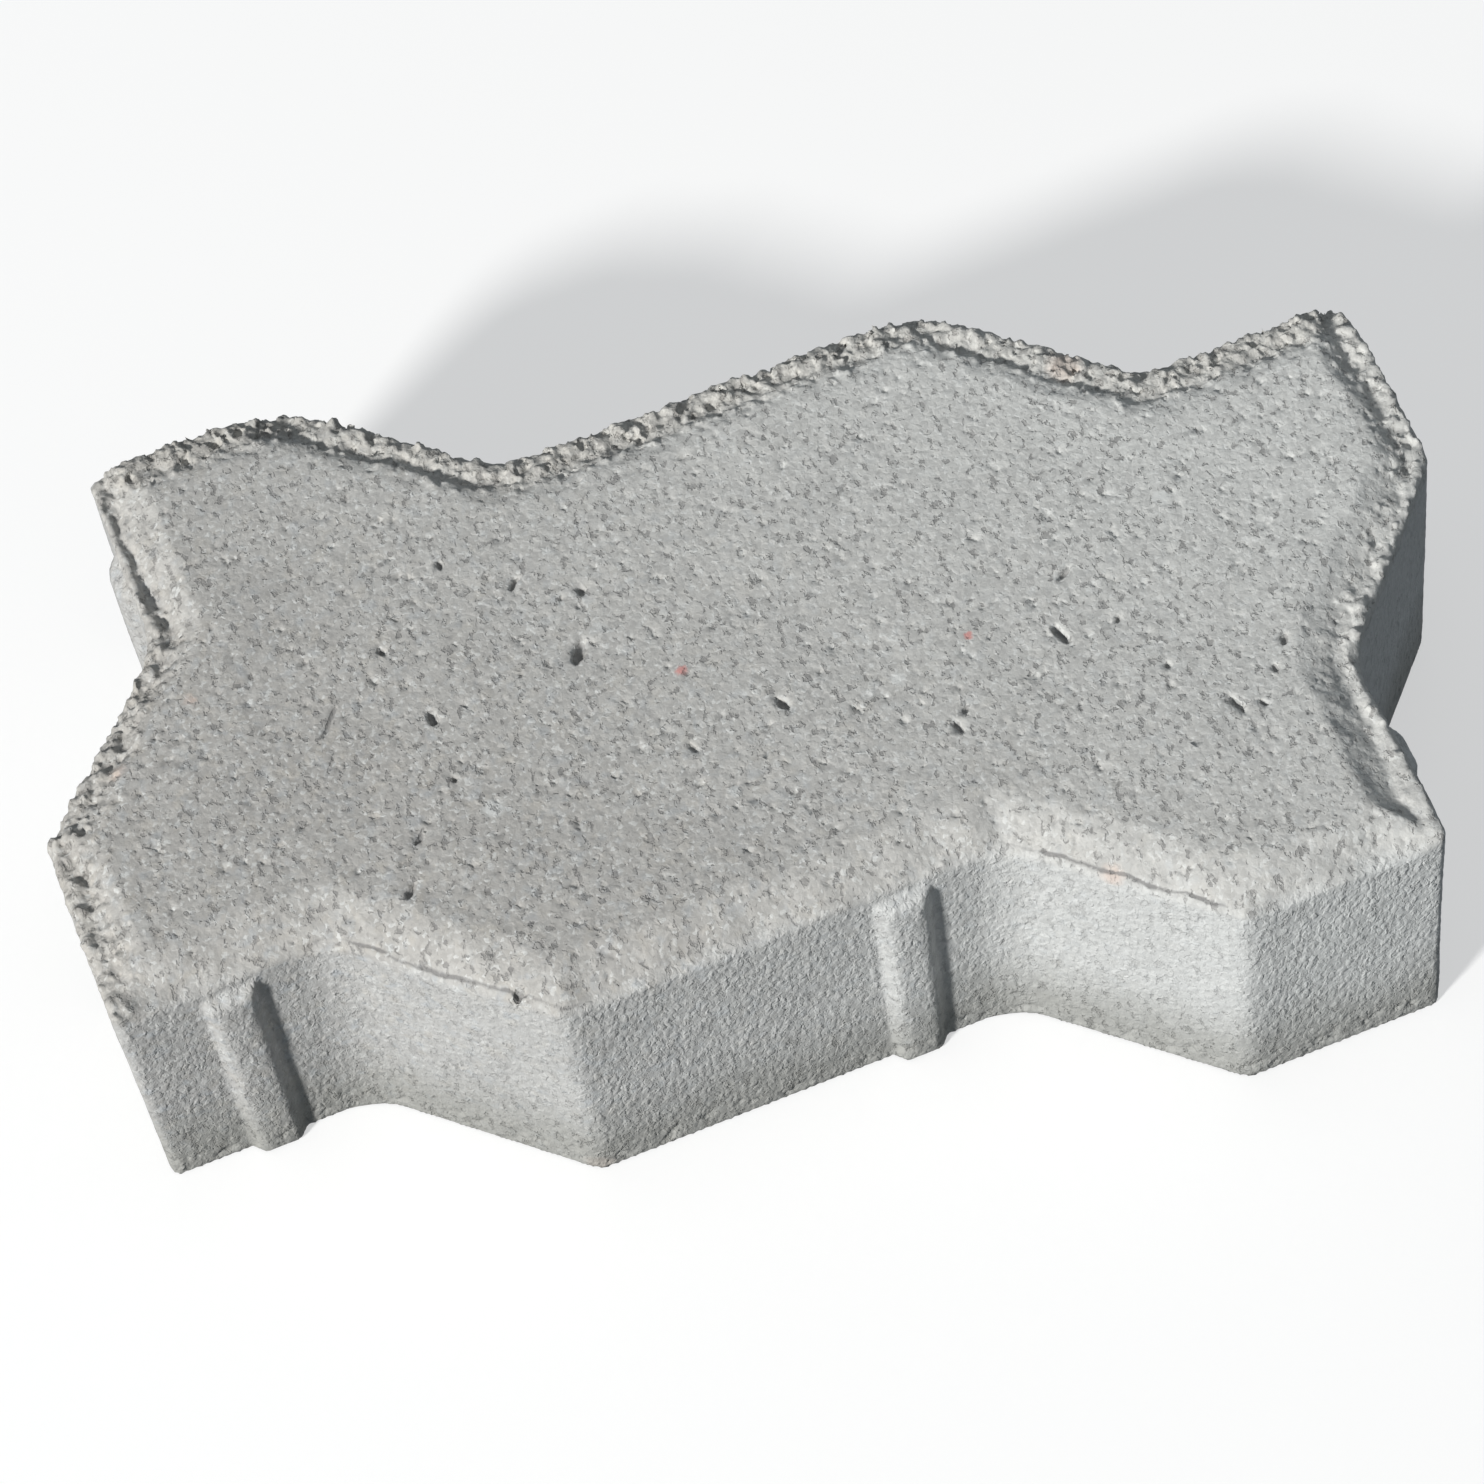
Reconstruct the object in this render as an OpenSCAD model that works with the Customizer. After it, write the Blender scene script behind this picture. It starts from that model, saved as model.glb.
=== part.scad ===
// Zigzag interlocking paving stone, cast in one piece from dry concrete.
// The stone lies on its bed face: X along its length, Z up, origin at the middle of the bed face.

/* [Stone] */
// Laying pitch: width of the stone with one joint
pitch = 112.5; // [90:0.5:140]
// Length of the stone with one joint, counted in pitches
pitches_long = 2; // [1:1:2]
// Joint between two laid stones
joint = 3.5; // [2:0.25:6]
// Height from the bed face to the top face
thickness = 60; // [40:1:100]

/* [Zigzag side] */
// How far a side steps out of, and into, its pitch line
tooth_depth = 10; // [6:0.5:14]
// Radius of the upright edges that point outwards
outer_edge_radius = 5; // [2:0.5:8]
// Radius of the upright edges that point inwards
inner_edge_radius = 12; // [4:0.5:16]

/* [Top edge] */
// Width of the chamfer round the top face
chamfer_width = 5; // [2:0.5:8]
// Drop of the chamfer from the top face to its foot
chamfer_drop = 5; // [3:0.5:8]
// Radius of the outer corners of the chamfer
top_corner_radius = 2; // [0.5:0.25:4]
// Width of the burr that stands outside the foot of the chamfer
burr_width = 3; // [1.5:0.25:5]
// Height of the burr above the foot of the chamfer
burr_height = 2.5; // [0.5:0.25:2.75]

/* [Spacer ribs] */
// Width of a rib where it leaves the side
rib_root_width = 12; // [9:0.5:14]
// Width of the flat crown of a rib
rib_crown_width = 6; // [3:0.5:8]
// How far a rib stands out of the side
rib_projection = 2.4; // [0.5:0.1:3]
// Distance along the side from a pitch corner to the middle of its rib
rib_from_corner = 21.5; // [17:0.5:25]
// Height of the sloped upper end of a rib
rib_end_slope = 3; // [1:0.5:8]

/* [Hidden] */
// Flats that make up the radius of one upright edge
radius_steps = 6;
concrete_gray = [0.64, 0.64, 0.62];

stone_length = pitches_long * pitch;
side_inset = joint / 2;
foot_inset = side_inset + burr_width;
foot_z = thickness - chamfer_drop;
burr_top_z = foot_z + burr_height;
// Cutting shapes run this far past the solid that they cut
overcut = 1;
// A rib is rooted this deep in its side
rib_root_depth = 2;

// The pitch lines round the stone, clockwise from above: start, direction, turns a corner at its start
pitch_lines = concat(
    [for (i = [0 : pitches_long - 1]) [[i * pitch - stone_length / 2, pitch / 2], [1, 0], i == 0]],
    [[[stone_length / 2, pitch / 2], [0, -1], true]],
    [for (i = [0 : pitches_long - 1]) [[stone_length / 2 - i * pitch, -pitch / 2], [-1, 0], i == 0]],
    [[[-stone_length / 2, -pitch / 2], [0, 1], true]]
);

function left_of(direction) = [-direction.y, direction.x];

// Each pitch line steps out at a third of its length and in at two thirds
corners = [for (line = pitch_lines) each concat(
    line[2] ? [line[0]] : [],
    [line[0] + line[1] * pitch / 3 + left_of(line[1]) * tooth_depth],
    [line[0] + line[1] * pitch * 2 / 3 - left_of(line[1]) * tooth_depth]
)];
count = len(corners);

function wrap(i) = (i + count) % count;
function along(i) = let (d = corners[wrap(i + 1)] - corners[wrap(i)]) d / norm(d);

// Corner i of the outline when every side has moved inwards by inset
function inset_corner(i, inset) =
    let (before = -left_of(along(i - 1)), after = -left_of(along(i)))
    corners[i] + (before + after) * inset / (1 + before * after);

// Angle turned at corner i: positive at an outer corner, negative at an inner one
function turn(i) =
    acos(along(i - 1) * along(i)) * (cross(along(i - 1), along(i)) < 0 ? 1 : -1);

// Points on the radius that rounds corner i of the outline
function rounded_corner(i, inset, outer_radius) =
    let (
        radius = turn(i) > 0 ? outer_radius : -(inner_edge_radius + inset - side_inset),
        centre = inset_corner(i, inset + radius),
        start = left_of(along(i - 1)) * radius
    )
    [for (step = [0 : radius_steps])
        let (a = -turn(i) * step / radius_steps)
        centre + [start.x * cos(a) - start.y * sin(a), start.x * sin(a) + start.y * cos(a)]];

// One closed ring of points round the stone at height z
function ring(inset, outer_radius, z) =
    [for (i = [0 : count - 1]) for (p = rounded_corner(i, inset, outer_radius)) [p.x, p.y, z]];

// The cast body, as rings from the bed face up over the burr to the rim of the top face
module cast_body() {
    rings = [
        ring(side_inset, outer_edge_radius, 0),
        ring(side_inset, outer_edge_radius, burr_top_z),
        ring(foot_inset, top_corner_radius, burr_top_z),
        ring(foot_inset, top_corner_radius, foot_z),
        ring(foot_inset + chamfer_width, top_corner_radius, thickness)
    ];
    size = len(rings[0]);
    last = len(rings) - 1;
    bed_centre = len(rings) * size;
    top_centre = bed_centre + 1;
    polyhedron(
        points = concat([for (r = rings) each r], [[0, 0, 0], [0, 0, thickness]]),
        faces = [for (i = [0 : size - 1]) let (j = (i + 1) % size) each concat(
            [[j, i, bed_centre]],
            [for (k = [0 : last - 1]) [k * size + i, k * size + j, (k + 1) * size + j, (k + 1) * size + i]],
            [[last * size + i, last * size + j, top_centre]]
        )]
    );
}

// Trapezium rib up one side, with its upper end sloping back into the side at the foot of the chamfer
module spacer_rib() {
    difference() {
        linear_extrude(foot_z) polygon([
            [-rib_root_width / 2, -rib_root_depth],
            [-rib_root_width / 2, 0],
            [-rib_crown_width / 2, rib_projection],
            [rib_crown_width / 2, rib_projection],
            [rib_root_width / 2, 0],
            [rib_root_width / 2, -rib_root_depth]
        ]);
        translate([-rib_root_width, 0, foot_z]) rotate([90, 0, 90]) linear_extrude(2 * rib_root_width)
            polygon([
                [-overcut, overcut * rib_end_slope / rib_projection],
                [rib_projection + overcut, overcut],
                [rib_projection + overcut, -(rib_projection + overcut) * rib_end_slope / rib_projection]
            ]);
    }
}

// One rib on the last third of every pitch line
module spacer_ribs() {
    for (line = pitch_lines) {
        pitch_corner = line[0] + line[1] * pitch;
        run = line[1] * pitch / 3 + left_of(line[1]) * tooth_depth;
        direction = run / norm(run);
        middle = pitch_corner - direction * rib_from_corner - left_of(direction) * side_inset;
        translate([middle.x, middle.y, 0]) rotate([0, 0, atan2(direction.y, direction.x)]) spacer_rib();
    }
}

module paving_stone() {
    color(concrete_gray) union() {
        cast_body();
        spacer_ribs();
    }
}

paving_stone();
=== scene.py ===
"""Looks of a cast concrete paving stone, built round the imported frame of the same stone."""
import math
import random

import bmesh
import bpy
import numpy as np
from bpy.props import FloatProperty, FloatVectorProperty, IntProperty, PointerProperty
from bpy.types import Operator, Panel, PropertyGroup
from mathutils import Euler, Matrix, Vector, noise


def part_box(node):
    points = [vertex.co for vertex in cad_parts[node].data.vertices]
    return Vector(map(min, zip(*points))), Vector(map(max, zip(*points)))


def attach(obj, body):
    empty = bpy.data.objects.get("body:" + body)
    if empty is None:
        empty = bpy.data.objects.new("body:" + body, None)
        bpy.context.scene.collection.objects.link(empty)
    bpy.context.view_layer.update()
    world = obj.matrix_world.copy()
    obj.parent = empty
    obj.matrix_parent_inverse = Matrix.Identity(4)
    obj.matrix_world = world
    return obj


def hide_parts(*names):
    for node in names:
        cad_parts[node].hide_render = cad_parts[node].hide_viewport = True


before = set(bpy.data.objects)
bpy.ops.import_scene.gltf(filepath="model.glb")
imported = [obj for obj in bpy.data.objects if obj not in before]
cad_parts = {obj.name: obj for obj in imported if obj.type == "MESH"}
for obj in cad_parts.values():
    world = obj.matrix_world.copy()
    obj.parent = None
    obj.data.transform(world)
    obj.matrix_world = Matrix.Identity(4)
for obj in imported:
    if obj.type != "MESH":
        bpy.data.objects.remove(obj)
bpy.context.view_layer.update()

bl_info = {
    "name": "Concrete paving stone",
    "version": (1, 0, 0),
    "blender": (4, 5, 0),
    "location": "View3D > Sidebar > Paving",
    "description": "Models a zigzag paving stone with its crumbly burr, grain, pits and studio",
    "category": "Add Mesh",
}

MM = 0.001
NODE = "paving_stone"
STONE_LOW, STONE_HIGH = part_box(NODE)
BED = STONE_LOW.z
STONE_TOP = STONE_HIGH.z
# Start and direction of each side of the outline before its teeth, in pitches
PITCH_SIDES = [
    ((-1, 0.5), (1, 0)), ((0, 0.5), (1, 0)), ((1, 0.5), (0, -1)),
    ((1, -0.5), (-1, 0)), ((0, -0.5), (-1, 0)), ((-1, -0.5), (0, 1)),
]
# How the edge of the top face is formed. First how far in from the side face, and how far below the
# top face, its arris, burr, groove, shoulder and inner end lie, in millimetres. Then how thickly it is
# covered with crumbs, and how deep a crack runs behind its arris
EDGE_FORMS = {
    "filled": ((0, 2.4), (1.8, 1.5), (5.0, 1.5), (6.8, 0.7), (10.0, 0), 1.0, 0.0),
    "grooved": ((0, 2.4), (2.0, 1.4), (5.6, 2.0), (6.7, 0.8), (10.0, 0), 0.8, 0.0),
    "hollow": ((0, 2.8), (1.1, 2.0), (3.3, 2.8), (5.8, 1.5), (9.0, 0), 0.5, 0.0),
    "rimmed": ((0, 3.0), (0.9, 2.2), (3.0, 2.6), (5.5, 1.5), (10.0, 0), 0.3, 0.0),
    "scooped": ((0, 2.8), (1.0, 2.0), (3.8, 3.0), (6.2, 1.8), (9.5, 0), 0.15, 0.0),
    "flash": ((0, 3.4), (1.2, 2.8), (2.6, 4.7), (3.8, 3.2), (9.0, 0), 0.25, 0.0),
    "crumbled": ((0, 3.9), (1.8, 3.0), (4.0, 3.1), (5.3, 1.7), (8.5, 0), 0.6, 0.3),
    "worn": ((0, 4.7), (1.8, 3.3), (4.0, 1.8), (5.3, 1.1), (8.5, 0), 0.03, 0.0),
    "cracked": ((0, 4.8), (1.8, 3.2), (4.0, 1.7), (5.3, 1.0), (8.5, 0), 0.02, 1.0),
}
# Where a form's values stand once its pairs are laid out in one row
GROOVE_PLACE, INNER_PLACE, CRUMB_COVER, CRACK_DEPTH = 4, 8, 10, 11
# Distance from a corner over which the form there turns into the side's own
CORNER_BLEND = 9 * MM
# The form of each side of the stone, clockwise from its back left corner
SIDE_FORMS = ["filled", "grooved", "filled", "grooved", "filled", "hollow", "rimmed", "scooped",
              "worn", "cracked", "worn", "cracked", "worn", "crumbled", "crumbled", "flash"]
# Reach and depth, in millimetres, of the wear that takes the top off some corners, by their number
WORN_CORNERS = {0: (6, 2.2), 1: (11, 3.2), 3: (9, 2.6), 5: (8, 2.8), 6: (4, 1.0)}
# Middle, length, width, turn in degrees and depth of each pit that stands out, in millimetres
LARGE_PITS = [
    (-53.6, -6.2, 3.0, 1.5, 109, 1.6), (-27.7, 2.9, 4.6, 1.8, 70, 1.8), (53.1, -7.4, 4.0, 1.6, 121, 1.5),
    (5.3, -13.2, 3.2, 1.5, 125, 1.4), (-37.5, 18.4, 2.8, 1.0, 59, 1.4), (-26.2, 15.1, 1.9, 1.4, 120, 1.3),
    (-59.7, -39.0, 3.4, 1.0, 60, 1.2), (-44.0, -59.7, 1.9, 1.4, 0, 1.7), (-49.8, 24.5, 1.8, 1.1, 95, 1.2),
    (-50.8, -18.9, 1.3, 1.1, 0, 1.0), (-57.6, -29.5, 3.8, 0.8, 57, 1.0), (-10.5, -19.5, 2.4, 0.8, 120, 0.8),
    (-61.2, 8.6, 1.8, 1.2, 120, 1.2), (63.0, -6.0, 1.4, 1.0, 100, 1.0), (89.8, -14.7, 2.6, 1.1, 70, 1.0),
    (87.3, -19.9, 1.7, 1.1, 110, 0.9), (80.0, -25.9, 4.2, 1.0, 118, 1.0), (69.9, -16.6, 1.4, 1.1, 90, 0.9),
    (33.7, -22.7, 3.0, 1.0, 121, 1.0), (35.4, -19.3, 1.8, 0.8, 60, 0.8), (84.5, -26.6, 1.6, 1.1, 140, 0.9),
    (55.5, 4.5, 3.4, 0.9, 50, 0.9), (-70.8, -3.9, 7.0, 0.8, 65, 0.6),
]
DEEPEST_PIT = max(pit[5] for pit in LARGE_PITS) * MM
# Middle and radius in millimetres, and colour, of the odd grains and stains
ODD_GRAINS = [
    (-44.7, -25.6, 60, 1.9, "pale"), (24.9, -11.8, 60, 1.3, "pale"), (-4.4, -28.9, 60, 1.2, "pale"),
    (73.8, 17.0, 60, 1.5, "pale"), (-10.9, -4.0, 60, 1.0, "red"), (37.8, -5.2, 60, 0.8, "red"),
    (54.6, -53.6, 56.5, 2.4, "beige"), (61.6, 48.0, 58, 3.2, "beige"), (-37.3, -64.0, 1.5, 2.8, "beige"),
    (-94.3, 4.1, 59, 1.6, "beige"), (-107.1, -7.8, 58, 2.0, "beige"),
]
CRUMB_MODELS = 4
CRUMB_SEED = 11
# mathutils starts its noise vectors from the clock unless they are seeded
PIT_SEED = 13
# How far in from the side crumbs are tried
CRUMB_REACH = 10 * MM
# Crumbs lie at least this far in from the side, and stand out of it by no more than this
CRUMB_MARGIN = 0.3 * MM
RIB_BEVEL = 1.4 * MM
# How deep a rib is rooted in its side
RIB_ROOT_DEPTH = 2 * MM


def length(name, description, default_mm):
    """A length property, in metres, whose default is given in millimetres."""
    return FloatProperty(name=name, description=description, default=default_mm * MM,
                         subtype="DISTANCE", unit="LENGTH", precision=5)


def colour(name, description, default):
    return FloatVectorProperty(name=name, description=description, default=default,
                               subtype="COLOR", min=0, max=1)


class StoneShape(PropertyGroup):
    pitch: length("Pitch", "Laying pitch: width of the stone with one joint", 112.5)
    joint: length("Joint", "Joint between two laid stones", 3.5)
    tooth: length("Tooth depth", "How far a side steps out of and into its pitch line", 10.0)
    outer_round: length("Outer edge", "Length that rounds each upright outer edge takes", 2.0)
    inner_round: length("Inner edge", "Length that rounds each upright inner edge takes", 5.6)
    edge_width: length("Edge width", "Width of the sloped edge round the top face", 8.0)
    edge_drop: length("Edge drop", "Mean drop of that edge below the top face", 3.0)
    rib_root: length("Rib root", "Width of a spacer rib where it leaves the side", 12.5)
    rib_crown: length("Rib crown", "Width of a spacer rib's crown", 6.6)
    rib_projection: length("Rib projection", "How far a spacer rib stands out", 2.5)
    rib_from_corner: length("Rib place", "From a pitch corner to the middle of its rib", 21.5)
    rib_end_slope: length("Rib end", "Height of the sloped upper end of a rib", 3.0)


class StoneRelief(PropertyGroup):
    voxel: length("Voxel", "Edge of the voxels that fuse the block before its relief", 0.45)
    swell: length("Swell", "Height of the slow waves of the faces", 0.5)
    grain: length("Grain", "Height of the coarse sand grains of the top face", 0.09)
    grit: length("Grit", "Height of the fine sand grains of the top face", 0.04)
    side_grain: length("Side grain", "Height of the sand grains of the sides", 0.13)
    edge_lump: length("Edge lumps", "Height of the low lumps along the edge of the top face", 0.3)
    crumbs: FloatProperty(name="Crumbs", description="Crumbs tried for each metre of edge", default=10000)
    crumb: length("Crumb size", "Radius of the largest crumbs", 1.2)
    pit: length("Pits", "Depth of the small pits between grains", 0.4)
    void_depth: length("Voids", "Depth of the voids in the crumbly burr", 0.9)
    lump: length("Lumps", "Height of the lumps along the burr", 1.0)
    crack: length("Crack", "Depth of the crack behind the arris of a cracked edge", 0.8)
    triangles: IntProperty(name="Triangles", description="Most triangles that the stone keeps",
                           default=198000, min=10000)


class StoneColours(PropertyGroup):
    paste: colour("Cement paste", "Mean colour of the dry cement paste", (0.44, 0.432, 0.417))
    # The dark paste is also painted in as shade in the pits, between the crumbs at the burr and along the
    # crack
    dark: colour("Dark paste", "Colour of the paste deep in pits and between grains", (0.158, 0.154, 0.154))
    # The pale bloom is also painted in as light towards one end of the stone
    pale: colour("Pale bloom", "Colour of lime bloom and pale grains", (0.62, 0.63, 0.62))
    warm: colour("Warm sand", "Colour of bare sand along the burr", (0.47, 0.44, 0.39))
    cool: colour("Cool patches", "Colour of the faint bluish patches", (0.38, 0.42, 0.46))
    # Colour that the sides are mixed towards near the bed, so that they are darker there
    darker_foot: colour("Damp foot", "Colour that the sides take towards the bed", (0.29, 0.29, 0.27))
    red: colour("Red grain", "Colour of the odd red grain", (0.60, 0.26, 0.24))
    beige: colour("Beige stain", "Colour of the beige chips and stains", (0.60, 0.46, 0.39))


class StoneStudio(PropertyGroup):
    lens: FloatProperty(name="Lens", description="Focal length of the camera in millimetres",
                        default=126.3)
    distance: length("Distance", "From the camera to the point it looks at", 904.1)
    azimuth: FloatProperty(name="Azimuth", description="Turn of the camera about the stone",
                           default=math.radians(2.08), subtype="ANGLE")
    elevation: FloatProperty(name="Elevation", description="Angle the camera looks down by",
                             default=math.radians(58.17), subtype="ANGLE")
    roll: FloatProperty(name="Roll", description="Turn of the camera about its line of sight",
                        default=math.radians(-9.93), subtype="ANGLE")
    aim: FloatVectorProperty(name="Aim", description="Point that the camera looks at",
                             subtype="TRANSLATION", unit="LENGTH",
                             default=(-0.0030, -0.0011, STONE_TOP / 2))
    key_azimuth: FloatProperty(name="Key azimuth", description="Direction the key light stands in",
                               default=math.radians(-45.6), subtype="ANGLE")
    key_elevation: FloatProperty(name="Key elevation", description="Height of the key light",
                                 default=math.radians(30.4), subtype="ANGLE")
    key_power: FloatProperty(name="Key power", description="Power of the key light in watts",
                             default=222.0)
    top_power: FloatProperty(name="Top power", description="Power of the soft light overhead in watts",
                             default=1.6)
    fill: FloatProperty(name="Fill", description="Strength of the even light from above", default=0.21)


def settings():
    return bpy.context.scene.paving_stone


# ---------------------------------------------------------------- helpers

def deselect_all():
    bpy.ops.object.select_all(action="DESELECT")


def make_active(obj):
    deselect_all()
    obj.select_set(True)
    bpy.context.view_layer.objects.active = obj


def select_by(obj, kind, test):
    """In edit mode, selects the vertices or edges of obj that pass the test, and nothing else."""
    bpy.ops.mesh.select_mode(type=kind)
    bpy.ops.mesh.select_all(action="DESELECT")
    mesh = bmesh.from_edit_mesh(obj.data)
    for part in mesh.verts if kind == "VERT" else mesh.edges:
        if test(part):
            part.select_set(True)
    mesh.select_flush_mode()
    bmesh.update_edit_mesh(obj.data)


def apply_modifier(obj, kind, name, **values):
    """Adds a modifier with these values and applies it."""
    make_active(obj)
    modifier = obj.modifiers.new(name, kind)
    for key, value in values.items():
        setattr(modifier, key, value)
    bpy.ops.object.modifier_apply(modifier=modifier.name)


def smooth_step(values, low, high):
    """0 below low, 1 above high, and a smooth rise between them."""
    t = np.clip((values - low) / (high - low), 0, 1)
    return t * t * (3 - 2 * t)


# ---------------------------------------------------------------- outline

def left_of(direction):
    """The direction a quarter turn to the left, which is outwards from a side of the outline."""
    return np.array((-direction[1], direction[0]))


class Outline:
    """The stone's outline from above: corners clockwise, moved in by half a joint."""

    def __init__(self, shape):
        corners = []
        for start, direction in PITCH_SIDES:
            start = np.array(start) * shape.pitch
            along = np.array(direction) * shape.pitch
            outward = left_of(np.array(direction)) * shape.tooth
            if abs(start[0]) > 0:
                corners.append(start)
            corners.append(start + along / 3 + outward)
            corners.append(start + along * 2 / 3 - outward)
        corners = np.array(corners)
        ahead = np.roll(corners, -1, axis=0) - corners
        self.along = ahead / np.linalg.norm(ahead, axis=1)[:, None]
        inward = np.stack((self.along[:, 1], -self.along[:, 0]), axis=1)
        before = np.roll(inward, 1, axis=0)
        shift = (before + inward) / (1 + (before * inward).sum(1))[:, None]
        self.corners = corners + shift * shape.joint / 2
        self.lengths = np.linalg.norm(np.roll(self.corners, -1, axis=0) - self.corners, axis=1)
        self.forms = np.array([np.hstack(EDGE_FORMS[form]) for form in SIDE_FORMS])

    def measure(self, points):
        """For each point: how far it lies inside the nearest side, and the edge form there."""
        nearest = np.full(len(points), np.inf)
        inside = np.zeros(len(points))
        forms = np.zeros((len(points), self.forms.shape[1]))
        at_start = (self.forms + np.roll(self.forms, 1, axis=0)) / 2
        at_end = np.roll(at_start, -1, axis=0)
        for number, (start, direction, run) in enumerate(zip(self.corners, self.along, self.lengths)):
            offset = points[:, :2] - start
            way = np.clip(offset @ direction, 0, run)
            gap = np.linalg.norm(offset - way[:, None] * direction, axis=1)
            closer = gap < nearest
            outside = offset @ left_of(direction) > 0
            nearest[closer] = gap[closer]
            inside[closer] = np.where(outside, 0, gap)[closer]
            to_corner = np.where(way < run / 2, at_start[number][:, None], at_end[number][:, None]).T
            share = smooth_step(np.minimum(way, run - way), 0, CORNER_BLEND)[:, None]
            forms[closer] = (to_corner + (self.forms[number] - to_corner) * share)[closer]
        return inside, forms


def wobble(points, size):
    """Smooth noise between about -1 and 1, with waves about this long, at each point."""
    return np.array([noise.noise(point) for point in (points / size).tolist()])


def flattened(points):
    """The points brought down to the bed, so that noise there runs straight down the sides."""
    return np.column_stack((points[:, :2], np.zeros(len(points))))


def edge_height(points, outline):
    """Height of the finished edge of the top face at each point, seen from above."""
    inside, forms = outline.measure(points)
    flat = flattened(points)
    quick_sway, slow_sway = 1.3 * MM * wobble(flat, 6 * MM), 1.2 * MM * wobble(flat + 0.5, 19 * MM)
    inside = inside + (quick_sway + slow_sway) * smooth_step(inside, 0.5 * MM, 3 * MM)
    places, drops = forms[:, 0:CRUMB_COVER:2] * MM, forms[:, 1:CRUMB_COVER:2] * MM
    unevenness = 0.45 * wobble(flat, 13 * MM)
    drops = drops * (1 + unevenness)[:, None]
    drop = np.zeros(len(points))
    for number in range(places.shape[1] - 1):
        low, high = places[:, number], places[:, number + 1]
        share = np.clip((inside - low) / (high - low), 0, 1)
        here = drops[:, number] + (drops[:, number + 1] - drops[:, number]) * share
        drop = np.where((inside >= low) & (inside < high), here, drop)
    for number, (reach, depth) in WORN_CORNERS.items():
        gap = np.linalg.norm(points[:, :2] - outline.corners[number], axis=1)
        drop = drop + depth * MM * (1 - smooth_step(gap, 0, reach * MM))
    return STONE_TOP - drop


# ---------------------------------------------------------------- block

def zigzag_slab(shape, outline):
    """The block with a plain edge: its outline drawn up, and the top face raised inside it."""
    deselect_all()
    bpy.ops.mesh.primitive_circle_add(vertices=len(outline.corners), radius=shape.pitch, fill_type="NGON")
    slab = bpy.context.object
    for vertex, corner in zip(slab.data.vertices, outline.corners[::-1]):
        vertex.co = (corner[0], corner[1], BED)
    bpy.ops.object.mode_set(mode="EDIT")
    bpy.ops.mesh.select_all(action="SELECT")
    bpy.ops.mesh.extrude_region_move(
        TRANSFORM_OT_translate={"value": (0, 0, STONE_TOP - shape.edge_drop - BED)})
    for _ in range(2):
        bpy.ops.mesh.inset(thickness=shape.edge_width / 2, depth=0, use_even_offset=True)
    bpy.ops.transform.translate(value=(0, 0, shape.edge_drop))
    bpy.ops.mesh.select_all(action="SELECT")
    bpy.ops.mesh.normals_make_consistent(inside=False)
    round_upright_edges(slab, shape)
    bpy.ops.object.mode_set(mode="OBJECT")
    return slab


def round_upright_edges(slab, shape):
    """Bevels the upright edges of the sides: a little on outer ones, more on inner ones."""
    def upright(edge):
        low, high = sorted(vertex.co.z for vertex in edge.verts)
        return low < BED + MM and high > BED + STONE_TOP / 2

    for convex, reach in ((True, shape.outer_round), (False, shape.inner_round)):
        select_by(slab, "EDGE", lambda edge: upright(edge) and edge.is_convex == convex)
        bpy.ops.mesh.bevel(offset=reach, offset_type="OFFSET", segments=5, affect="EDGES")


def copy_of(model, place):
    """A copy of the model, with its own mesh, put in place by a matrix."""
    copy = model.copy()
    copy.data = model.data.copy()
    copy.matrix_world = place
    bpy.context.scene.collection.objects.link(copy)
    return copy


def spacer_rib(shape):
    """A rib at the origin: a bar rooted in the side, narrowed to its crown and sloped off on top."""
    top = STONE_TOP - shape.edge_drop - MM
    middle = (0, (shape.rib_projection - RIB_ROOT_DEPTH) / 2, top / 2)
    deselect_all()
    bpy.ops.mesh.primitive_cube_add(
        size=1, location=middle, scale=(shape.rib_root, shape.rib_projection + RIB_ROOT_DEPTH, top))
    rib = bpy.context.object
    bpy.ops.object.transform_apply(location=True, rotation=False, scale=True)
    bpy.ops.object.mode_set(mode="EDIT")
    crown = shape.rib_projection - MM / 10
    select_by(rib, "VERT", lambda vertex: vertex.co.y > crown)
    bpy.ops.transform.resize(value=(shape.rib_crown / shape.rib_root, 1, 1), center_override=middle)
    select_by(rib, "VERT", lambda vertex: vertex.co.y > crown and vertex.co.z > top / 2)
    bpy.ops.transform.translate(value=(0, 0, -shape.rib_end_slope))
    select_by(rib, "EDGE", lambda edge: all(vertex.co.y > crown for vertex in edge.verts))
    bpy.ops.mesh.bevel(offset=RIB_BEVEL, segments=5, affect="EDGES")
    bpy.ops.object.mode_set(mode="OBJECT")
    return rib


def spacer_ribs(shape):
    """Copies of one rib, one on the last third of every pitch side."""
    model = spacer_rib(shape)
    ribs = []
    for start, direction in PITCH_SIDES:
        outward = left_of(np.array(direction)) * shape.tooth
        run = np.array(direction) * shape.pitch / 3 + outward
        run = run / np.linalg.norm(run)
        corner = (np.array(start) + np.array(direction)) * shape.pitch
        middle = corner - run * shape.rib_from_corner - left_of(run) * shape.joint / 2
        turn = Matrix.Rotation(math.atan2(run[1], run[0]), 4, "Z")
        ribs.append(copy_of(model, Matrix.Translation((*middle, 0)) @ turn))
    bpy.data.objects.remove(model)
    return ribs


def fuse(parts, relief):
    """Joins the parts and fuses them into one skin of small even faces."""
    block = parts[0]
    make_active(block)
    for part in parts[1:]:
        part.select_set(True)
    bpy.ops.object.join()
    apply_modifier(block, "REMESH", "fuse", mode="VOXEL", voxel_size=relief.voxel, adaptivity=0)
    return block


# ---------------------------------------------------------------- relief

def positions(obj):
    points = np.empty(len(obj.data.vertices) * 3)
    obj.data.vertices.foreach_get("co", points)
    return points.reshape(-1, 3)


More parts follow.
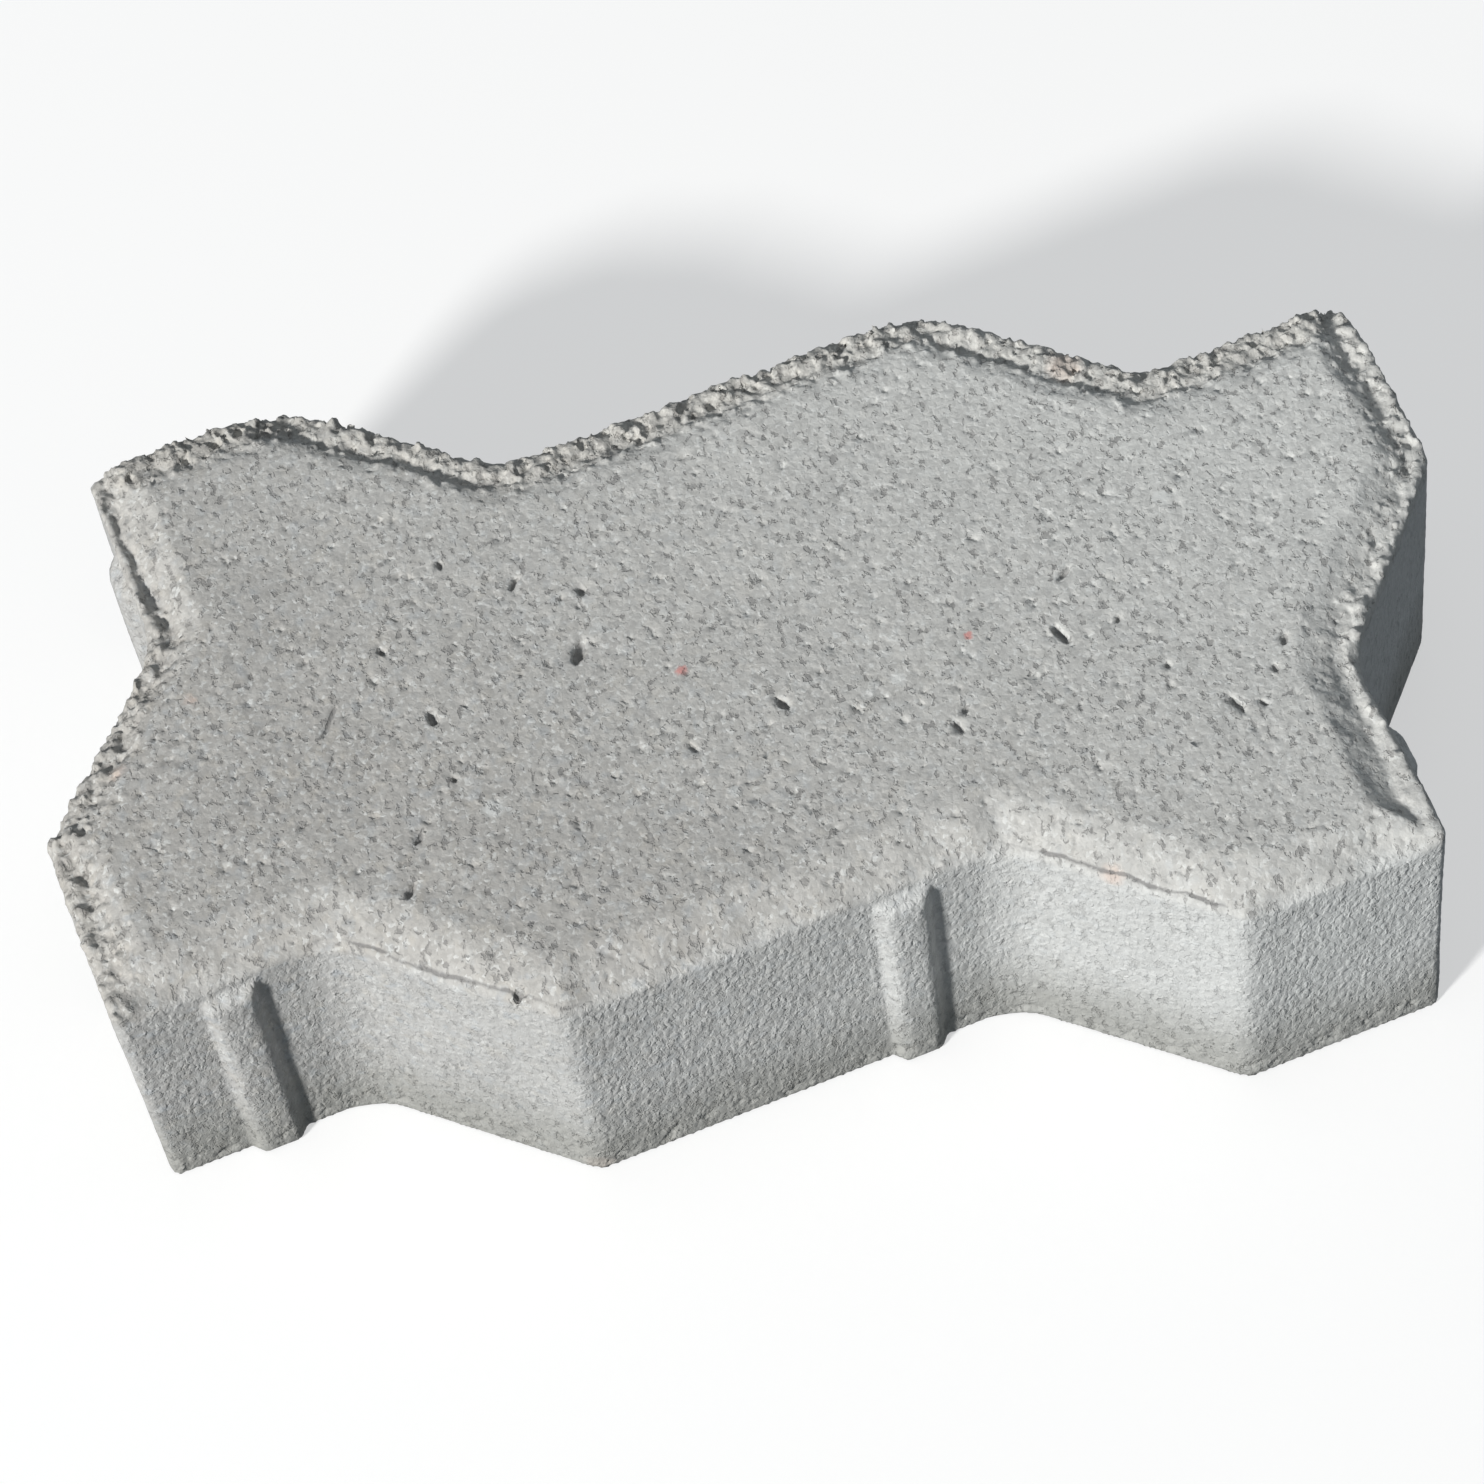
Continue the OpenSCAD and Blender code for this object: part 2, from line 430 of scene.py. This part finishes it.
def weigh(obj, name, weights, levels=100):
    """Stores one weight for each vertex in a vertex group, rounded to a few levels."""
    group = obj.vertex_groups.new(name=name)
    steps = np.rint(np.clip(weights, 0, 1) * levels).astype(int)
    order = np.argsort(steps, kind="stable")
    for chosen in np.split(order, np.nonzero(np.diff(steps[order]))[0] + 1):
        if steps[chosen[0]] > 0:
            group.add(chosen.tolist(), steps[chosen[0]] / levels, "REPLACE")


def form_edges(block, shape, outline):
    """Moves the plain edge up or down to the form that each side's edge has, and softens it."""
    points = positions(block)
    arris = STONE_TOP - shape.edge_drop
    fading, most = 22 * MM, 4 * MM
    target = edge_height(points, outline)
    move = np.where(points[:, 2] > arris - MM / 10, target - points[:, 2],
                    (target - arris) * smooth_step(points[:, 2], arris - fading, arris))
    weigh(block, "raised", move / most)
    weigh(block, "lowered", -move / most)
    displace(block, "raise", None, most, "raised", 0, "Z")
    displace(block, "lower", None, -most, "lowered", 0, "Z")
    inside = outline.measure(points)[0]
    near_top = smooth_step(points[:, 2], STONE_TOP - 8 * MM, STONE_TOP - 5 * MM)
    weigh(block, "rim", np.maximum(near_top * (inside < 10 * MM), 0.5 * (inside < 0.1 * MM)))
    apply_modifier(block, "SMOOTH", "soften", factor=0.5, iterations=3, vertex_group="rim")
    block.vertex_groups.clear()


def crumb_models():
    """A few knobbly crumbs of unit radius, each a sphere with its corners pulled about."""
    models = []
    for number in range(CRUMB_MODELS):
        deselect_all()
        bpy.ops.mesh.primitive_ico_sphere_add(subdivisions=2, radius=1)
        bpy.ops.object.mode_set(mode="EDIT")
        bpy.ops.mesh.select_all(action="SELECT")
        bpy.ops.transform.vertex_random(offset=0.35, uniform=0.4, normal=0.6, seed=number)
        bpy.ops.object.mode_set(mode="OBJECT")
        models.append(bpy.context.object)
    return models


def crumb_spots(outline, relief, dice):
    """Where crumbs stick to the edge: place and radius of each, thick on a burr and thin elsewhere."""
    spots = []
    for start, along, run in zip(outline.corners, outline.along, outline.lengths):
        for _ in range(round(run * relief.crumbs)):
            reach = CRUMB_REACH * dice.random() ** 1.2
            spot = start + along * run * dice.random() - left_of(along) * (reach + CRUMB_MARGIN)
            spots.append((*spot, 0))
    spots = np.array(spots)
    inside, forms = outline.measure(spots)
    thinning = smooth_step(inside, (forms[:, GROOVE_PLACE] + 1) * MM, forms[:, INNER_PLACE] * MM)
    cover = forms[:, CRUMB_COVER] * (1 - thinning)
    cover = cover * (0.75 + 0.9 * wobble(spots, 7 * MM)) * (inside > 0.25 * MM)
    kept = spots[[dice.random() < share for share in cover]]
    radii = np.array([relief.crumb * (0.4 + 0.6 * dice.random() ** 2) for _ in kept])
    inside, forms = outline.measure(kept)
    radii = np.minimum(radii, CRUMB_MARGIN + inside) * (1 - 0.4 * smooth_step(inside, 3 * MM, 6 * MM))
    radii = radii * smooth_step(forms[:, CRUMB_COVER], -0.6, 0.6)
    kept[:, 2] = edge_height(kept, outline) + radii * np.array([dice.uniform(-0.55, 0.3) for _ in kept])
    return kept, radii


def scatter_crumbs(outline, relief):
    """Copies of the crumbs, each turned and flattened in its own way, stuck to the edge."""
    dice = random.Random(CRUMB_SEED)
    models = crumb_models()
    crumbs = []
    for spot, radius in zip(*crumb_spots(outline, relief, dice)):
        model = dice.choice(models)
        turn = Euler([dice.uniform(0, math.tau) for _ in range(3)])
        size = Vector([radius * dice.uniform(0.75, 1.2) for _ in range(3)])
        crumbs.append(copy_of(model, Matrix.LocRotScale(Vector(spot), turn, size)))
    for model in models:
        bpy.data.objects.remove(model)
    return crumbs


def pit_distances(points):
    """For each pit that stands out: its depth, and how many of its half widths away each point is."""
    noise.seed_set(PIT_SEED)
    for x, y, long, wide, turn, depth in LARGE_PITS:
        angle = math.radians(turn)
        offset = points[:, :2] - np.array((x, y)) * MM
        for number in np.nonzero(np.abs(offset).max(1) < 2 * long * MM)[0]:
            bend = noise.noise_vector(points[number] / (1.1 * MM))
            offset[number] += np.array(bend[:2]) * 0.45 * MM
        along = offset @ np.array((math.cos(angle), math.sin(angle))) / (long * MM / 2)
        across = offset @ np.array((-math.sin(angle), math.cos(angle))) / (wide * MM / 2)
        yield depth * MM, np.hypot(along, across)


def large_pits(points):
    """Depth of the pits that stand out at each point, as a share of the deepest."""
    on_top = smooth_step(points[:, 2], STONE_TOP - 6 * MM, STONE_TOP - 4 * MM)
    shares = [(1 - smooth_step(gap, 0.55, 1.35)) * depth / DEEPEST_PIT
              for depth, gap in pit_distances(points)]
    return np.max(shares, axis=0) * on_top


def mark_zones(block, outline):
    """Weighs the zones that wear differently: top face, rim, sides, burr, foot, crack and pits."""
    points = positions(block)
    inside, forms = outline.measure(points)
    height = points[:, 2]
    lumpiness, crack = forms[:, CRUMB_COVER], forms[:, CRACK_DEPTH]
    off_bed = smooth_step(height, BED + 0.2 * MM, BED + 2 * MM)
    near_top = smooth_step(height, STONE_TOP - 8 * MM, STONE_TOP - 5 * MM)
    rim = near_top * (1 - smooth_step(inside, 8 * MM, 12 * MM))
    burr = near_top * (1 - smooth_step(inside, 5 * MM, 9 * MM))
    weigh(block, "off_bed", off_bed)
    weigh(block, "top", near_top * smooth_step(inside, 0.5 * MM, 2 * MM))
    weigh(block, "sides", off_bed * (1 - near_top))
    weigh(block, "foot", off_bed * (1 - smooth_step(height, 3 * MM, 9 * MM)))
    weigh(block, "burr", burr * lumpiness)
    weigh(block, "edge", rim)
    weigh(block, "crack", crack_share(points, inside, crack) * near_top)
    weigh(block, "large_pits", large_pits(points))


def crack_share(points, inside, crack):
    """How deep the wavy, broken crack behind the arris is at each point."""
    flat = flattened(points)
    middle = MM + 0.6 * MM * wobble(flat, 5 * MM) + 0.25 * MM * wobble(flat, 1.6 * MM)
    whole = 0.55 + 0.45 * smooth_step(wobble(flat + 0.3, 6 * MM), -0.2, 0.2)
    return crack * whole * (1 - smooth_step(np.abs(inside - middle), 0.1 * MM, 0.45 * MM))


def clouds(name, size, depth):
    """Cloudy noise with patches of this size, and finer ones in them down to this depth."""
    texture = bpy.data.textures.new(name, "CLOUDS")
    texture.noise_scale = size
    texture.noise_depth = depth
    return texture


def cells(name, size):
    """Rounded cells of about this size."""
    texture = bpy.data.textures.new(name, "VORONOI")
    texture.noise_scale = size
    texture.distance_metric = "DISTANCE"
    return texture


def ramp(texture, *stops):
    """Reshapes a texture's values through a ramp of (position, value) stops."""
    texture.use_color_ramp = True
    elements = texture.color_ramp.elements
    while len(elements) < len(stops):
        elements.new(0.5)
    for element, (position, value) in zip(elements, stops):
        element.position = position
        element.color = (value, value, value, 1)
    return texture


def displace(block, name, texture, strength, group, level=0.5, direction="NORMAL"):
    """Moves the surface in or out by a texture, as far as the group's weights let it."""
    apply_modifier(block, "DISPLACE", name, texture=texture, strength=strength, mid_level=level,
                   vertex_group=group, direction=direction, texture_coords="LOCAL")


def press_relief(block, relief):
    """Raises the lumps of the edge and the grain, and opens the voids, crack and pits."""
    displace(block, "burr_height", clouds("burr_height", 7 * MM, 2), relief.lump, "burr", 0.45, "Z")
    displace(block, "burr_grains", cells("burr_grains", 1.6 * MM), -relief.lump * 0.6, "burr", 0.4)
    displace(block, "burr_voids", ramp(clouds("burr_voids", 2.2 * MM, 3), (0.32, 0), (0.42, 1)),
             relief.void_depth, "burr", 1.0)
    displace(block, "swell", clouds("swell", 20 * MM, 1), relief.swell, "off_bed")
    displace(block, "edge_lumps", clouds("edge_lumps", 4 * MM, 3), relief.edge_lump, "edge")
    displace(block, "crack", clouds("crack", 9 * MM, 1), -relief.crack, "crack", 0.2)
    displace(block, "grain", cells("grain", 2.1 * MM), -relief.grain, "top", 0.4)
    displace(block, "grit", clouds("grit", 1.0 * MM, 2), relief.grit, "top")
    displace(block, "pits", ramp(clouds("pits", 1.6 * MM, 3), (0.24, 0), (0.30, 1)), relief.pit, "top", 1.0)
    displace(block, "large_pits", None, -DEEPEST_PIT, "large_pits", 0, "Z")
    displace(block, "side_grain", cells("side_grain", 1.7 * MM), -relief.side_grain, "sides", 0.4)
    displace(block, "foot_voids", ramp(clouds("foot_voids", 2.4 * MM, 3), (0.34, 0), (0.42, 1)),
             relief.pit, "foot", 1.0)


def thin_out(block, relief):
    """Keeps the faces where the relief needs them, up to the wanted number of triangles."""
    apply_modifier(block, "TRIANGULATE", "triangles")
    ratio = relief.triangles / len(block.data.polygons)
    if ratio < 1:
        apply_modifier(block, "DECIMATE", "thin", ratio=ratio)


def store_wear_and_shade_masks(block, outline):
    """Keeps, for the concrete's colours, how crumbly, cracked and near a pit each point is: the crumb value
    tints the burr warm, and all three steer painted shade in crumb gaps, crack and pits.
    """
    points = positions(block)
    inside, forms = outline.measure(points)
    near_top = smooth_step(points[:, 2], STONE_TOP - 7 * MM, STONE_TOP - 5 * MM)
    crumb = near_top * (1 - smooth_step(inside, 4 * MM, 9 * MM)) * forms[:, CRUMB_COVER]
    crack = crack_share(points, inside, forms[:, CRACK_DEPTH]) * near_top
    pit = near_top * np.max([np.clip(1 - gap / 2, 0, 1) for _, gap in pit_distances(points)], axis=0)
    block.vertex_groups.clear()
    for name, values in (("crumb", crumb), ("crack", crack), ("pit", pit)):
        block.data.attributes.new(name, "FLOAT", "POINT").data.foreach_set("value", values)


# ---------------------------------------------------------------- material

class Nodes:
    """A short way to add and join the shader nodes of one material."""

    def __init__(self, material):
        material.use_nodes = True
        self.tree = material.node_tree
        self.shader = self.tree.nodes["Principled BSDF"]

    def add(self, kind, inputs=None, **values):
        node = self.tree.nodes.new(kind)
        for key, value in values.items():
            setattr(node, key, value)
        for key, value in (inputs or {}).items():
            if isinstance(value, bpy.types.NodeSocket):
                self.tree.links.new(value, node.inputs[key])
            else:
                node.inputs[key].default_value = value
        return node

    def attribute(self, name):
        return self.add("ShaderNodeAttribute", attribute_name=name).outputs["Fac"]

    def stretched(self, where, scale, turn=0.0):
        """The place on a pattern that is stretched along its axes, and then turned about Z."""
        return self.add("ShaderNodeMapping", {"Vector": where, "Rotation": (0, 0, turn), "Scale": scale},
                        vector_type="TEXTURE").outputs["Vector"]

    def noise(self, where, size, detail=2.0, roughness=0.5):
        return self.add("ShaderNodeTexNoise", {
            "Vector": where, "Scale": 1 / size, "Detail": detail, "Roughness": roughness}).outputs["Fac"]

    def shaken(self, where, size, reach):
        """The place moved about at random by up to this reach, so that shapes get rough outlines."""
        blur = self.add("ShaderNodeTexNoise", {"Vector": where, "Scale": 1 / size, "Detail": 2.0})
        offset = self.add("ShaderNodeVectorMath", {0: blur.outputs["Color"], 1: (0.5, 0.5, 0.5)},
                          operation="SUBTRACT").outputs[0]
        scaled = self.add("ShaderNodeVectorMath", {0: offset, "Scale": 2 * reach},
                          operation="SCALE").outputs[0]
        return self.add("ShaderNodeVectorMath", {0: where, 1: scaled}, operation="ADD").outputs[0]

    def grains(self, where, size):
        """Distance from the middle of the nearest grain, and a value of that grain's own."""
        node = self.add("ShaderNodeTexVoronoi", {"Vector": where, "Scale": 1 / size})
        own = self.add("ShaderNodeSeparateColor", {"Color": node.outputs["Color"]}).outputs["Red"]
        return node.outputs["Distance"], own

    def gaps(self, where, size):
        """Distance to the nearest gap between grains."""
        return self.add("ShaderNodeTexVoronoi", {"Vector": where, "Scale": 1 / size},
                        feature="DISTANCE_TO_EDGE").outputs["Distance"]

    def spread(self, value, low, high, out_low=0.0, out_high=1.0, soft=False):
        """The value from low to high spread over another range, and held at its ends beyond them."""
        return self.add("ShaderNodeMapRange", {
            "Value": value, "From Min": low, "From Max": high, "To Min": out_low, "To Max": out_high},
            interpolation_type="SMOOTHSTEP" if soft else "LINEAR").outputs["Result"]

    def mix(self, factor, first, second):
        node = self.add("ShaderNodeMix", data_type="RGBA")
        for socket, value in ((node.inputs[0], factor), (node.inputs[6], first), (node.inputs[7], second)):
            if isinstance(value, bpy.types.NodeSocket):
                self.tree.links.new(value, socket)
            else:
                socket.default_value = value
        return node.outputs[2]

    def maths(self, operation, first, second):
        return self.add("ShaderNodeMath", {0: first, 1: second}, operation=operation).outputs[0]

    def times(self, first, second):
        return self.maths("MULTIPLY", first, second)


def opaque(tint):
    return (*tint, 1.0)


def mottled_paste(n, where, colours):
    """The paste's colour: slow and quick mottling in lightness, with faint warm and cool patches."""
    tint = n.mix(n.spread(n.noise(where, 16 * MM, 3.0), 0.3, 0.7, 0.0, 0.14), opaque(colours.paste),
                 opaque(colours.dark))
    tint = n.mix(n.spread(n.noise(where, 2.3 * MM, 3.0), 0.5, 0.72, 0.0, 0.35), tint, opaque(colours.pale))
    tint = n.mix(n.spread(n.noise(where, 3.1 * MM, 3.0), 0.54, 0.7, 0.0, 0.4), tint, opaque(colours.warm))
    return n.mix(n.spread(n.noise(where, 2.7 * MM, 3.0), 0.55, 0.72, 0.0, 0.45), tint, opaque(colours.cool))


def odd_grains(n, rough, tint, colours):
    """The few grains and stains that stand out by their colour."""
    for x, y, z, radius, name in ODD_GRAINS:
        gap = n.add("ShaderNodeVectorMath", {0: rough, 1: (x * MM, y * MM, z * MM)},
                    operation="DISTANCE").outputs["Value"]
        share = n.spread(gap, radius * MM * 1.2, radius * MM * 0.6, 0.0, 0.5 if name == "beige" else 0.8)
        tint = n.mix(share, tint, opaque(getattr(colours, name)))
    return tint


def height_zones(n, where):
    """How far up towards the top face, and how far down towards the coarse foot, a place is."""
    height = n.add("ShaderNodeSeparateXYZ", {"Vector": where}).outputs["Z"]
    upper = n.spread(height, STONE_TOP - 6 * MM, STONE_TOP - 3.5 * MM)
    uneven = n.maths("ADD", height, n.times(n.noise(where, 9 * MM, 2.0), 12 * MM))
    return upper, n.spread(uneven, 30 * MM, 12 * MM)


def lit_end_and_face_tones(n, where, upper, tint, colours):
    """Painted light: the paste made paler towards one end, and on top towards the back, standing in for
    brighter light there; the sides a little cooler, and the top warmer and a little darker.
    """
    place = n.add("ShaderNodeSeparateXYZ", {"Vector": where}).outputs
    end = n.maths("ADD", place["X"], n.times(n.times(place["Y"], 1.1), upper))
    # Painted light: paler towards the +X end and, on top, towards the back
    tint = n.mix(n.spread(end, -0.08, 0.11), tint, opaque(colours.pale))
    tint = n.mix(n.spread(upper, 0, 1, 0.12, 0.0), tint, opaque(colours.cool))
    tint = n.mix(n.times(upper, 0.14), tint, opaque(colours.warm))
    return n.mix(n.times(upper, 0.07), tint, opaque(colours.dark))


def sand_tones(n, own, fine_own, coarse, tint, colours):
    """Coarse and fine sand grains, each with its own lightness, fainter on the smooth sides."""
    shown = n.spread(coarse, 0, 1, 0.6, 1.0)
    tint = n.mix(n.times(n.spread(own, 0, 0.5, 0.14, 0.0), shown), tint, opaque(colours.dark))
    tint = n.mix(n.times(n.spread(fine_own, 0, 0.4, 0.22, 0.0), shown), tint, opaque(colours.dark))
    return n.mix(n.times(n.spread(fine_own, 0.84, 0.97, 0.0, 0.55), shown), tint, opaque(colours.pale))


def pit_depth_and_shade(n, where, rough, coarse):
    """Small slanting pits on top and at the foot, and the large ones with ragged outlines: their depth for
    the bump, and the painted shade in them for the colour. The slant lays that painted shade in one
    direction, the way the pits' shadows fall.
    """
    slanted = n.stretched(rough, (1.35, 1.0, 2.2), math.radians(-78))
    small = n.times(n.spread(n.noise(slanted, 1.5 * MM, 4.0, 0.65), 0.425, 0.365),
                    n.spread(coarse, 0, 1, 0.35, 1.0))
    ragged = n.maths("ADD", n.attribute("pit"), n.times(n.noise(where, 0.9 * MM, 2.0), 0.5))
    return n.maths("MAXIMUM", small, n.spread(ragged, 0.70, 0.80))


def burr_tones_and_shade(n, where, rough, crumb, tint, colours):
    """Warm crumbs at the burr, with painted shade in the gaps between them and in the crack behind an
    arris.
    """
    tint = n.mix(n.times(crumb, 0.35), tint, opaque(colours.warm))
    between = n.maths("MAXIMUM", n.spread(n.noise(where, 2.0 * MM, 4.0, 0.6), 0.45, 0.38),
                      n.times(n.spread(n.gaps(rough, 1.5 * MM), 0.16, 0.04), 0.6))
    # Painted shade: dark between the crumbs and along the crack
    gap_and_crack_shade = n.maths("MAXIMUM", n.times(n.times(crumb, between), 0.6),
                    n.spread(n.attribute("crack"), 0.15, 0.6))
    return n.mix(n.times(gap_and_crack_shade, 0.72), tint, opaque(colours.dark))


def grain_domes(n, upright, grains, fine_grains, hollow):
    """Height of the grains, which stand up as low domes, with fine grit over them and pits between."""
    (middle, own), (fine_middle, fine_own) = grains, fine_grains
    domes = n.times(n.spread(middle, 0.0, 0.8, 1.0, 0.0, soft=True), n.spread(own, 0, 1, 0.4, 1.0))
    fine_domes = n.times(n.spread(fine_middle, 0.0, 0.8, 0.4, 0.0, soft=True), fine_own)
    grit = n.times(n.noise(upright, 0.7 * MM, 3.0, 0.6), 0.45)
    return n.maths("SUBTRACT", n.maths("ADD", n.maths("ADD", domes, fine_domes), grit), hollow)


def dry_cast_concrete(colours):
    """Grey dry-cast concrete: mottled paste, grains, painted shade in the pits, between the crumbs and in
    the crack, warm crumbs at the burr, painted light towards one end, and a darker foot.
    """
    material = bpy.data.materials.new("dry_cast_concrete")
    n = Nodes(material)
    where = n.add("ShaderNodeTexCoord").outputs["Object"]
    rough = n.shaken(where, 1.1 * MM, 0.7 * MM)
    upright = n.stretched(rough, (1, 1, 1.7))
    upper, lower = height_zones(n, where)
    coarse = n.maths("MAXIMUM", upper, n.times(lower, 0.6))
    crumb = n.attribute("crumb")
    grains, fine_grains = n.grains(upright, 1.3 * MM), n.grains(upright, 0.6 * MM)
    hollow = pit_depth_and_shade(n, where, rough, coarse)

    tint = mottled_paste(n, where, colours)
    tint = lit_end_and_face_tones(n, where, upper, tint, colours)
    tint = sand_tones(n, grains[1], fine_grains[1], coarse, tint, colours)
    tint = odd_grains(n, rough, tint, colours)
    # Painted shade: the small and large pits are darkened towards the dark paste
    tint = n.mix(n.times(hollow, 0.55), tint, opaque(colours.dark))
    # The sides are made darker towards the bed
    tint = n.mix(n.times(lower, 0.7), tint, opaque(colours.darker_foot))
    tint = burr_tones_and_shade(n, where, rough, crumb, tint, colours)
    n.tree.links.new(tint, n.shader.inputs["Base Color"])
    n.shader.inputs["Roughness"].default_value = 0.92
    n.shader.inputs["Specular IOR Level"].default_value = 0.3

    strength = n.maths("ADD", n.spread(upper, 0, 1, 1.75, 0.65), n.times(crumb, 0.5))
    height = n.times(grain_domes(n, upright, grains, fine_grains, hollow), strength)
    bump = n.add("ShaderNodeBump", {"Height": height, "Strength": 1.0, "Distance": 0.15 * MM})
    n.tree.links.new(bump.outputs["Normal"], n.shader.inputs["Normal"])
    return material


def light_table():
    """A pale floor lit softly from below, so that the stone's shadow on it stays light."""
    material = bpy.data.materials.new("light_table")
    n = Nodes(material)
    n.shader.inputs["Base Color"].default_value = (0.45, 0.45, 0.45, 1.0)
    n.shader.inputs["Roughness"].default_value = 0.9
    n.shader.inputs["Emission Color"].default_value = (1.0, 1.0, 1.0, 1.0)
    n.shader.inputs["Emission Strength"].default_value = 0.52
    return material


# ---------------------------------------------------------------- studio

def lay_floor():
    """The floor catches the stone's shadow, and no light comes off it onto the stone."""
    deselect_all()
    bpy.ops.mesh.primitive_plane_add(size=6, location=(0, 0, BED - 0.2 * MM))
    floor = bpy.context.object
    floor.name = "floor"
    floor.visible_diffuse = False
    floor.data.materials.append(light_table())


def direction_from(azimuth, elevation):
    """Unit vector from the stone towards something at this azimuth (0 is in front) and elevation."""
    return Vector((math.sin(azimuth) * math.cos(elevation), -math.cos(azimuth) * math.cos(elevation),
                   math.sin(elevation)))


def disk_light(name, towards, distance, size, power, tint):
    light = bpy.data.lights.new(name, "AREA")
    light.energy = power
    light.shape = "DISK"
    light.size = size
    light.color = tint
    lamp = bpy.data.objects.new(name, light)
    turn = towards.to_track_quat("Z", "Y").to_matrix().to_4x4()
    lamp.matrix_world = Matrix.Translation(towards * distance) @ turn
    bpy.context.scene.collection.objects.link(lamp)


def hang_lights(studio):
    disk_light("key", direction_from(studio.key_azimuth, studio.key_elevation), 4.0, 0.5,
               studio.key_power, (1.0, 0.99, 0.965))
    disk_light("overhead", direction_from(math.radians(100), math.radians(80)), 1.5, 1.0,
               studio.top_power, (1.0, 0.99, 0.97))


def set_fill(scene, studio):
    """An even cool light from above that fades to a dim one from below."""
    world = bpy.data.worlds.new("studio")
    scene.world = world
    world.use_nodes = True
    tree = world.node_tree
    background = tree.nodes["Background"]
    background.inputs["Color"].default_value = (0.80, 0.91, 1.0, 1.0)
    where = tree.nodes.new("ShaderNodeTexCoord")
    split = tree.nodes.new("ShaderNodeSeparateXYZ")
    fade = tree.nodes.new("ShaderNodeMapRange")
    for key, value in (("From Min", -0.3), ("From Max", 0.3), ("To Min", 0.4 * studio.fill),
                       ("To Max", studio.fill)):
        fade.inputs[key].default_value = value
    tree.links.new(where.outputs["Generated"], split.inputs["Vector"])
    tree.links.new(split.outputs["Z"], fade.inputs["Value"])
    tree.links.new(fade.outputs["Result"], background.inputs["Strength"])


def place_camera(scene, studio):
    towards = direction_from(studio.azimuth, studio.elevation)
    camera = bpy.data.objects.new("camera", bpy.data.cameras.new("camera"))
    camera.data.lens = studio.lens
    camera.data.sensor_width = 36
    camera.data.clip_end = 20
    turn = towards.to_track_quat("Z", "Y").to_matrix().to_4x4() @ Matrix.Rotation(studio.roll, 4, "Z")
    camera.matrix_world = Matrix.Translation(Vector(studio.aim) + towards * studio.distance) @ turn
    scene.collection.objects.link(camera)
    scene.camera = camera


# ---------------------------------------------------------------- add-on

class PavingStoneSettings(PropertyGroup):
    shape: PointerProperty(type=StoneShape)
    relief: PointerProperty(type=StoneRelief)
    colours: PointerProperty(type=StoneColours)
    studio: PointerProperty(type=StoneStudio)


class PAVING_OT_stone(Operator):
    """Models the paving stone and gives it its concrete"""
    bl_idname = "paving.stone"
    bl_label = "Paving stone"

    def execute(self, context):
        shape, relief = settings().shape, settings().relief
        outline = Outline(shape)
        block = fuse([zigzag_slab(shape, outline), *spacer_ribs(shape)], relief)
        form_edges(block, shape, outline)
        block = fuse([block, *scatter_crumbs(outline, relief)], relief)
        mark_zones(block, outline)
        press_relief(block, relief)
        thin_out(block, relief)
        store_wear_and_shade_masks(block, outline)
        block.name = block.data.name = "paving_stone_cast"
        make_active(block)
        bpy.ops.object.shade_smooth()
        block.data.materials.append(dry_cast_concrete(settings().colours))
        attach(block, "root")
        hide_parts(NODE)
        return {"FINISHED"}


class PAVING_OT_studio(Operator):
    """Lays the floor and sets the lights and the camera"""
    bl_idname = "paving.studio"
    bl_label = "Studio"

    def execute(self, context):
        studio = settings().studio
        lay_floor()
        hang_lights(studio)
        set_fill(context.scene, studio)
        place_camera(context.scene, studio)
        context.scene.view_settings.view_transform = "Standard"
        return {"FINISHED"}


class PAVING_PT_panel(Panel):
    """Lists the steps that make the paving stone"""
    bl_idname = "PAVING_PT_panel"
    bl_label = "Paving stone"
    bl_space_type = "VIEW_3D"
    bl_region_type = "UI"
    bl_category = "Paving"

    def draw(self, context):
        for operator in OPERATORS:
            self.layout.operator(operator.bl_idname)
        for group in (settings().shape, settings().relief, settings().colours, settings().studio):
            box = self.layout.box()
            for name in group.__annotations__:
                box.prop(group, name)


OPERATORS = (PAVING_OT_stone, PAVING_OT_studio)
CLASSES = (StoneShape, StoneRelief, StoneColours, StoneStudio, PavingStoneSettings,
           *OPERATORS, PAVING_PT_panel)


def register():
    for cls in CLASSES:
        bpy.utils.register_class(cls)
    bpy.types.Scene.paving_stone = PointerProperty(type=PavingStoneSettings)


def unregister():
    del bpy.types.Scene.paving_stone
    for cls in reversed(CLASSES):
        bpy.utils.unregister_class(cls)


def main():
    register()
    bpy.ops.paving.stone()
    bpy.ops.paving.studio()


if __name__ == "__main__":
    main()
